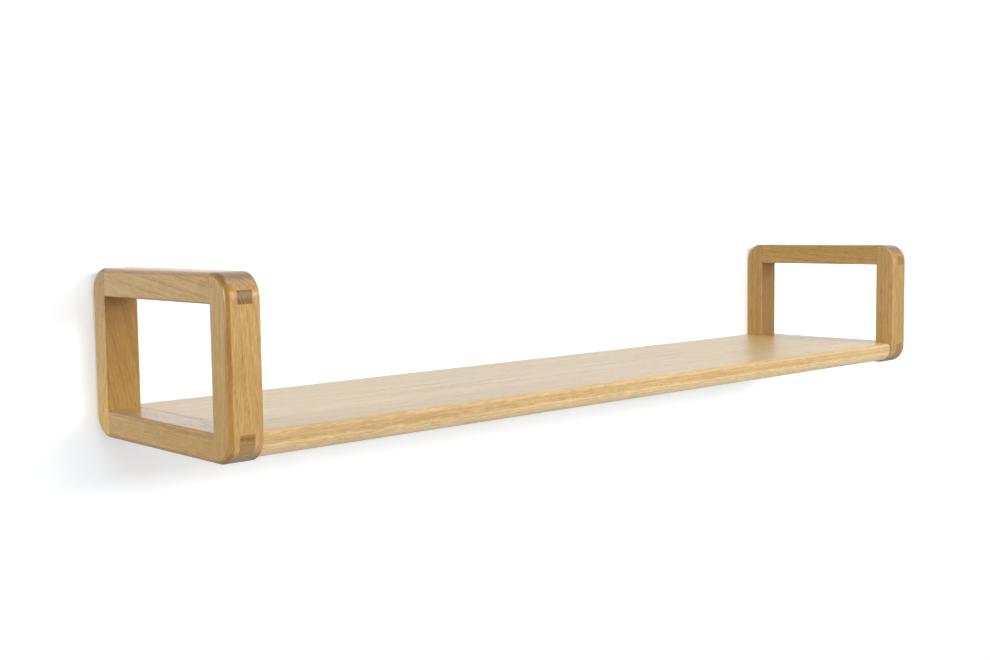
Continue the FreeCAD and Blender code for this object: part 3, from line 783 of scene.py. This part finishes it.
def stave_tree():
    tree, nodes, given, wanted = new_tree("Board stave", "GeometryNodeTree", STAVE_INPUTS, GEOMETRY)
    profile = nodes.first("GeometryNodeCurvePrimitiveQuadrilateral", {
        "Width": nodes.minus(given["Back"], given["Front"]),
        "Height": nodes.minus(given["Top"], given["Bottom"])})

    # Each corner takes the radius of the side of the profile that it lies on.
    x, y, _ = nodes.split(nodes.first("GeometryNodeInputPosition"))
    at_back = nodes.math("GREATER_THAN", x, 0.0)
    low, top = (nodes.choose(at_back, given[f"{level} Front Radius"], given[f"{level} Back Radius"])
                for level in ("Lower", "Upper"))
    rounded = nodes.first("GeometryNodeFilletCurve", {
        "Curve": profile, "Radius": nodes.choose(nodes.math("GREATER_THAN", y, 0.0), low, top),
        "Count": given["Round Steps"]}, mode="POLY")
    face = nodes.first("GeometryNodeFillCurve", {"Curve": rounded}, mode="NGONS")

    # Stand the profile up across X at the left end, and run it out to the right one.
    middle_y, middle_z = (nodes.times(nodes.plus(given[first], given[last]), 0.5)
                          for first, last in (("Front", "Back"), ("Bottom", "Top")))
    left_end = nodes.times(given["Half Length"], -1.0)
    upright = moved(nodes, face, nodes.join(left_end, middle_y, middle_z),
                    (QUARTER_TURN, 0, QUARTER_TURN))
    run = nodes.first("GeometryNodeExtrudeMesh", {
        "Mesh": upright, "Offset": (1, 0, 0),
        "Offset Scale": nodes.times(given["Half Length"], 2.0)}, mode="FACES")
    start_cap = nodes.first("GeometryNodeFlipFaces", {"Mesh": upright})
    closed = nodes.first("GeometryNodeMergeByDistance", {
        "Geometry": joined(nodes, run, start_cap), "Distance": WELD_DISTANCE})

    # A slot at each end, mirrored about the middle of the shelf.
    block = nodes.first("GeometryNodeMeshCube", {"Size": given["Slot Size"]})
    slots = [moved(nodes, block, nodes.vector("MULTIPLY", given["Slot Middle"], (mirrored, 1, 1)))
             for mirrored in (1, -1)]
    cut = nodes.first("GeometryNodeMeshBoolean",
                      {"Mesh 1": closed, "Mesh 2": joined(nodes, *slots)}, operation="DIFFERENCE")
    finish_tree(nodes, cut, given["Wood"], wanted)
    return tree


def make_stave(node_name, tree, material):
    settings = bpy.context.scene.board_profile
    low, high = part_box(node_name)
    # The radius of each long edge, by which way it looks along Y and Z.
    radii = dict.fromkeys([(-1, -1), (-1, 1), (1, -1), (1, 1)], 0.0)
    if node_name == STAVES[0]:
        radii[1, -1] = radii[1, 1] = settings.back_radius
    if node_name == STAVES[-1]:
        radii[-1, -1] = settings.lower_front_radius
        radii[-1, 1] = settings.upper_front_radius
    room = Vector((settings.slot_clearance,) * 3)
    tongue_low, tongue_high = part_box("left_tongue")
    slot_low = tongue_low - room
    slot_high = tongue_high + room
    slot_low.x = low.x - SLOT_OVERRUN
    piece = link(f"{node_name}_oak", bpy.data.meshes.new(f"{node_name}_skin"))
    apply_tree(piece, tree, {
        "Front": low.y, "Back": high.y, "Bottom": low.z, "Top": high.z, "Half Length": high.x,
        "Lower Front Radius": radii[-1, -1], "Upper Front Radius": radii[-1, 1],
        "Lower Back Radius": radii[1, -1], "Upper Back Radius": radii[1, 1],
        "Round Steps": settings.round_steps, "Slot Middle": tuple((slot_low + slot_high) / 2),
        "Slot Size": tuple(slot_high - slot_low), "Wood": material})
    ease_ends(piece.data, settings.end_bevel)
    crisp(piece.data)
    true_rounds(piece.data, StaveOutline(low, high, radii), flat_rest=True)
    stand_for(piece, node_name)


def ease_ends(mesh, bevel):
    """Bevel the outer edges of both ends of a stave."""
    shape = bmesh.new()
    shape.from_mesh(mesh)
    across = list(zip(*(vertex.co for vertex in shape.verts)))
    end, back, high = map(max, across)
    _, front, low = map(min, across)

    def outside(edge):
        """Round an end, but not round its slot or along a joint."""
        first, second = (vertex.co for vertex in edge.verts)
        middle = (first + second) / 2
        at_end = max(end - abs(first.x), abs(first.x - second.x)) < WELD_DISTANCE
        flush = min(middle.z - low, high - middle.z) < WELD_DISTANCE
        beside_slot = low / 2 < middle.z < high / 2
        upright = abs(first.y - second.y) < WELD_DISTANCE
        joint = upright and min(middle.y - front, back - middle.y) < WELD_DISTANCE
        return at_end and (flush or not (beside_slot or joint))

    edges = [edge for edge in shape.edges if outside(edge)]
    bmesh.ops.bevel(shape, geom=edges, offset=bevel, segments=2, profile=0.5, affect="EDGES",
                    clamp_overlap=True)
    shape.to_mesh(mesh)
    shape.free()


# One countersunk wood screw, drawn head up and set at the place of each head, pointing forwards.

SCREW_INPUTS = {
    "Geometry": ("Heads",),
    "Float": ("Head Radius", "Head Height", "Thread Radius", "Thread Height", "Thread Pitch",
              "Length", "Recess Length"),
    "Material": ("Steel",),
}
# A round head of flat sides stays this much inside the round one of the CAD model.
INSIDE_CAD = 0.997
SCREW_SIDES = 48
THREAD_STEPS = 24
THREAD_SIDES = 6
SPIN_SEED = 4
# As shares of the cross recess's length: the width and height of the blocks that cut its arms,
# and the radii and the floor of its tapered middle.
ARM_WIDTH = 0.27
ARM_BLOCK_HEIGHT = 0.6
RECESS_RADII = (0.34, 0.12)
RECESS_FLOOR = 0.4
# The length of the point, as a share of the thread's radius.
POINT_LENGTH = 2.0


def screw_tree():
    tree, nodes, given, wanted = new_tree("Plate screws", "GeometryNodeTree", SCREW_INPUTS, GEOMETRY)

    def lowered(shape, depth):
        return moved(nodes, shape, nodes.join(0.0, 0.0, nodes.times(depth, -1.0)))

    def turned(top, bottom, depth):
        """A round length that stands on its lower end."""
        return nodes.first("GeometryNodeMeshCone", {
            "Vertices": SCREW_SIDES, "Radius Top": top, "Radius Bottom": bottom, "Depth": depth})

    # The countersunk head, with a cross recess round a tapered middle.
    head_height = given["Head Height"]
    head = lowered(turned(given["Head Radius"], given["Thread Radius"], head_height), head_height)
    recessed = nodes.add(
        "GeometryNodeMeshBoolean", {"Mesh 1": head}, operation="DIFFERENCE", solver="MANIFOLD")
    arm = given["Recess Length"]
    width, depth, wide, narrow, floor = (
        nodes.times(arm, part)
        for part in (ARM_WIDTH, ARM_BLOCK_HEIGHT, *RECESS_RADII, RECESS_FLOOR))
    for size in ((arm, width, depth), (width, arm, depth)):
        block = nodes.first("GeometryNodeMeshCube", {"Size": nodes.join(*size)})
        nodes.feed(recessed.inputs, {"Mesh 2": block})
    nodes.feed(recessed.inputs, {"Mesh 2": lowered(turned(wide, narrow, depth), floor)})

    # The core, its point, and a thread that winds round the core.
    core = nodes.minus(given["Thread Radius"], given["Thread Height"])
    point = nodes.times(given["Thread Radius"], POINT_LENGTH)
    shank_end = nodes.minus(given["Length"], point)
    shank = nodes.minus(shank_end, head_height)
    spiral = nodes.first("GeometryNodeCurveSpiral", {
        "Resolution": THREAD_STEPS, "Height": shank, "Start Radius": core, "End Radius": core,
        "Rotations": nodes.math("DIVIDE", shank, given["Thread Pitch"])})
    ridge = nodes.first("GeometryNodeCurvePrimitiveCircle", {
        "Resolution": THREAD_SIDES, "Radius": given["Thread Height"]})
    thread = nodes.first(
        "GeometryNodeCurveToMesh", {"Curve": spiral, "Profile Curve": ridge, "Fill Caps": True})
    screw = joined(nodes, recessed.outputs[0], lowered(turned(core, core, shank), shank_end),
                   lowered(turned(core, 0.0, point), given["Length"]), lowered(thread, shank_end))

    # Each screw was driven home to its own angle.
    spin = nodes.add("FunctionNodeRandomValue", {"Seed": SPIN_SEED, 2: 0.0, 3: math.pi},
                     data_type="FLOAT")
    set_in = nodes.first("GeometryNodeInstanceOnPoints", {
        "Points": given["Heads"], "Instance": screw,
        "Rotation": nodes.join(-QUARTER_TURN, spin.outputs[1], 0.0)})
    finish_tree(nodes, set_in, given["Steel"], wanted)
    return tree


# Operators, one for each piece or group of like pieces.

# How far each kind of joint's dark line reaches, and how dark it is. Where the board's ends meet the
# rails, the line is painted shade in the gap between them.
MEMBER_LINE = (0.5 * MM, 0.4)
STAVE_LINE = (0.35 * MM, 0.25)
BOARD_END_GAP_SHADE = (0.8 * MM, 0.8)
RAIL_GAP_SHADE = (1.6 * MM, 0.8)


class SHELF_OT_end_frames(Operator):
    """Make the rounded oak members of both end frames"""
    bl_idname = "shelf.end_frames"
    bl_label = "End Frames"

    def execute(self, context):
        settings = context.scene.oak_finish
        board_ends = dict(zip(SIDES, (corner.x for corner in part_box(STAVES[0]))))
        for side, outward in SIDES.items():
            shoulders = [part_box(f"{side}_front_stile")[1].y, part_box(f"{side}_back_stile")[0].y]
            outline = FrameOutline(side)
            for member in MEMBERS:
                node_name = f"{side}_{member}"
                joints = [("Y", shoulders, *MEMBER_LINE)]
                # Painted shade in the gap where the board's end meets the bottom rail.
                if member == "bottom_rail":
                    joints.append(("X", [board_ends[side]], *RAIL_GAP_SHADE))
                material = oak_material(
                    node_name, settings.pale, settings.tan, settings.coat_roughness,
                    settings.frame_edge_shade, (outward, 0, 0), joints)
                dress_copy(node_name, "oak", material, outline=outline)
        return {"FINISHED"}


class SHELF_OT_board(Operator):
    """Make the glued-up board, stave by stave"""
    bl_idname = "shelf.board"
    bl_label = "Board"

    def execute(self, context):
        settings = context.scene.oak_finish
        tree = stave_tree()
        for node_name in STAVES:
            low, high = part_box(node_name)
            # The board's ends carry painted shade in the gap where they meet the rails.
            joints = [("Y", [low.y, high.y], *STAVE_LINE), ("X", [low.x, high.x], *BOARD_END_GAP_SHADE)]
            material = oak_material(
                node_name, settings.board_pale, settings.board_tan,
                settings.board_coat_roughness, settings.board_edge_shade, (0, 0, 1), joints)
            make_stave(node_name, tree, material)
        return {"FINISHED"}


class SHELF_OT_tongues(Operator):
    """Make the loose beech tongues that join the board to the lower rails"""
    bl_idname = "shelf.tongues"
    bl_label = "Loose Tongues"

    def execute(self, context):
        material = beech_material()
        bevel = context.scene.board_profile.tongue_bevel
        for side in SIDES:
            dress_copy(f"{side}_tongue", "beech", material, bevel, flats_weight=0)
        return {"FINISHED"}


class SHELF_OT_hanger_plates(Operator):
    """Make the keyhole hanger plates in the backs of the rear stiles"""
    bl_idname = "shelf.hanger_plates"
    bl_label = "Hanger Plates"

    def execute(self, context):
        settings = context.scene.hanger_steel
        material = zinc_material("bright_zinc", settings.plate_colour, PLATE_SPANGLE)
        for side in SIDES:
            dress_copy(f"{side}_keyhole_plate", "steel", material, settings.edge_round)
        return {"FINISHED"}


class SHELF_OT_plate_screws(Operator):
    """Make the four screws of the hanger plates"""
    bl_idname = "shelf.plate_screws"
    bl_label = "Plate Screws"

    def execute(self, context):
        settings = context.scene.hanger_steel
        low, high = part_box("plate_screws")
        head_radius = settings.head_diameter / 2
        places = []
        for side in SIDES:
            plate_low, plate_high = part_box(f"{side}_keyhole_plate")
            for height in (low.z + head_radius, high.z - head_radius):
                places.append(((plate_low.x + plate_high.x) / 2, high.y, height))
        heads = bpy.data.meshes.new("plate_screw_heads")
        heads.from_pydata(places, [], [])
        piece = link("plate_screws_steel", heads)
        apply_tree(piece, screw_tree(), {
            "Head Radius": head_radius * INSIDE_CAD,
            "Head Height": (settings.head_diameter - settings.thread_diameter) / 2,
            "Thread Radius": settings.thread_diameter / 2,
            "Thread Height": settings.thread_height, "Thread Pitch": settings.thread_pitch,
            "Length": high.y - low.y, "Recess Length": settings.recess_length,
            "Steel": zinc_material("yellow_zinc", settings.screw_colour, SCREW_SPANGLE)})
        crisp(piece.data)
        stand_for(piece, "plate_screws")
        return {"FINISHED"}


# The studio: a white wall behind the shelf, a white floor below it, soft lamps and a camera.

WALL_GAP = 0.5 * MM
STAGE_REACH = 6.0
FLOOR_HEIGHT = -0.9
LAMP_TARGET = Vector((0.0, -0.1, 0.03))
# Each lamp's place, width and height, and whether reflections show it.
LAMPS = {
    "key": ((0.0, -2.4, 0.62), 2.1, 0.42, False),
    "strip": ((1.15, -2.42, 0.66), 0.8, 1.2, True),
    "fill": ((-3.4, 0.1, 0.6), 1.2, 1.2, True),
    "top": ((0.2, -0.7, 2.2), 1.8, 1.2, True),
}
# Where the mirrored room starts to brighten towards the wall, and where it is white.
TOWARDS_WALL = (0.5, 0.85, 0.0)
ROOM_BRIGHTENS = (-0.2, 0.9)


def white_surface(name, white, glow_strength, one_sided):
    """White for the stage, lifted to the camera, and clear from behind where one-sided."""
    material = bpy.data.materials.new(f"white_{name}")
    nodes = blank_nodes(material)
    paint = nodes.first("ShaderNodeBsdfDiffuse", {"Color": rgba(white)})
    to_camera = nodes.add("ShaderNodeLightPath").outputs["Is Camera Ray"]
    glow = nodes.first("ShaderNodeEmission", {
        "Color": WHITE, "Strength": nodes.times(to_camera, glow_strength)})
    surface = nodes.first("ShaderNodeAddShader", {0: paint, 1: glow})
    if one_sided:
        behind = nodes.add("ShaderNodeNewGeometry").outputs["Backfacing"]
        clear = nodes.first("ShaderNodeBsdfTransparent")
        surface = nodes.first("ShaderNodeMixShader", {0: behind, 1: surface, 2: clear})
    nodes.add("ShaderNodeOutputMaterial", {"Surface": surface})
    return material


def stage_plane(name, place, up, material):
    """A flat of the stage, as wide as the stage, from its lower left corner upwards."""
    left, up = Vector(place), Vector(up)
    right = left + Vector((2 * STAGE_REACH, 0, 0))
    mesh = bpy.data.meshes.new(name)
    mesh.from_pydata((left, right, right + up, left + up), [], [(0, 1, 2, 3)])
    mesh.materials.append(material)
    plane = link(name, mesh)
    return plane


def add_lamp(name, strength, place, width, height, mirrored):
    """A soft lamp that points at the middle of the shelf."""
    light = bpy.data.lights.new(name, "AREA")
    light.shape = "RECTANGLE"
    light.size = width
    light.size_y = height
    light.energy = strength
    lamp = link(name, light)
    lamp.location = place
    lamp.rotation_euler = (LAMP_TARGET - Vector(place)).to_track_quat("-Z", "Y").to_euler()
    lamp.visible_glossy = mirrored


def studio_camera(settings):
    """A camera that looks straight ahead, then is turned by its pan, tilt and roll."""
    data = bpy.data.cameras.new("studio_camera")
    data.lens = settings.focal_length
    camera = link("studio_camera", data)
    camera.matrix_world = (Matrix.Translation(settings.camera_place)
                           @ Matrix.Rotation(-settings.camera_pan, 4, "Z")
                           @ Matrix.Rotation(QUARTER_TURN - settings.camera_tilt, 4, "X")
                           @ Matrix.Rotation(-settings.camera_roll, 4, "Z"))
    bpy.context.scene.camera = camera


def studio_sky(strength, room_shade):
    """Even light from all round, mirrored as a white wall and a darker room in front of it."""
    world = bpy.data.worlds.new("studio_sky")
    nodes = blank_nodes(world)
    path = nodes.add("ShaderNodeLightPath").outputs
    direction = nodes.add("ShaderNodeTexCoord").outputs["Generated"]
    facing_wall = nodes.vector("DOT_PRODUCT", direction, TOWARDS_WALL)
    reflected = nodes.smooth(facing_wall, *ROOM_BRIGHTENS, room_shade, 1.0)
    level = nodes.choose(path["Is Glossy Ray"], strength, reflected)
    seen = nodes.math("MAXIMUM", path["Is Camera Ray"], path["Is Transmission Ray"])
    background = nodes.first("ShaderNodeBackground", {
        "Color": WHITE, "Strength": nodes.choose(seen, level, 1.0)})
    nodes.add("ShaderNodeOutputWorld", {"Surface": background})
    bpy.context.scene.world = world


class SHELF_OT_studio(Operator):
    """Set up the white wall and floor, the lamps and the camera"""
    bl_idname = "shelf.studio"
    bl_label = "Studio"

    def execute(self, context):
        settings = context.scene.studio
        wall = stage_plane("studio_wall", (-STAGE_REACH, WALL_GAP, FLOOR_HEIGHT),
                           (0, 0, STAGE_REACH - FLOOR_HEIGHT),
                           white_surface("wall", settings.white, settings.wall_glow, True))
        wall.visible_shadow = wall.visible_diffuse = wall.visible_glossy = False
        stage_plane("studio_floor", (-STAGE_REACH, -STAGE_REACH, FLOOR_HEIGHT),
                    (0, 2 * STAGE_REACH, 0),
                    white_surface("floor", settings.white, settings.floor_glow, False))
        for name, lamp in LAMPS.items():
            add_lamp(f"{name}_lamp", getattr(settings, f"{name}_power"), *lamp)
        studio_sky(settings.sky_strength, settings.room_shade)
        studio_camera(settings)
        context.scene.view_settings.view_transform = "Standard"
        return {"FINISHED"}


class SHELF_PT_panel(Panel):
    """Lists the shelf's operators and settings"""
    bl_label = "Oak Shelf"
    bl_idname = "SHELF_PT_panel"
    bl_space_type = "VIEW_3D"
    bl_region_type = "UI"
    bl_category = "Oak Shelf"

    def draw(self, context):
        for piece in OPERATORS:
            self.layout.operator(piece.bl_idname)
        for name, group in SETTINGS.items():
            box = self.layout.box()
            box.label(text=name.replace("_", " ").capitalize())
            for setting in group.__annotations__:
                box.prop(getattr(context.scene, name), setting)


SETTINGS = {"oak_finish": OakSettings, "frame_rounding": FrameSettings,
            "board_profile": BoardSettings, "hanger_steel": SteelSettings, "studio": StudioSettings}
OPERATORS = (SHELF_OT_end_frames, SHELF_OT_board, SHELF_OT_tongues, SHELF_OT_hanger_plates,
             SHELF_OT_plate_screws, SHELF_OT_studio)
CLASSES = (*SETTINGS.values(), *OPERATORS, SHELF_PT_panel)


def register():
    for group in CLASSES:
        bpy.utils.register_class(group)
    for name, group in SETTINGS.items():
        setattr(bpy.types.Scene, name, PointerProperty(type=group))


def unregister():
    for name in SETTINGS:
        delattr(bpy.types.Scene, name)
    for group in reversed(CLASSES):
        bpy.utils.unregister_class(group)


def main():
    register()
    bpy.ops.shelf.end_frames()
    bpy.ops.shelf.board()
    bpy.ops.shelf.tongues()
    bpy.ops.shelf.hanger_plates()
    bpy.ops.shelf.plate_screws()
    bpy.ops.shelf.studio()


if __name__ == "__main__":
    main()
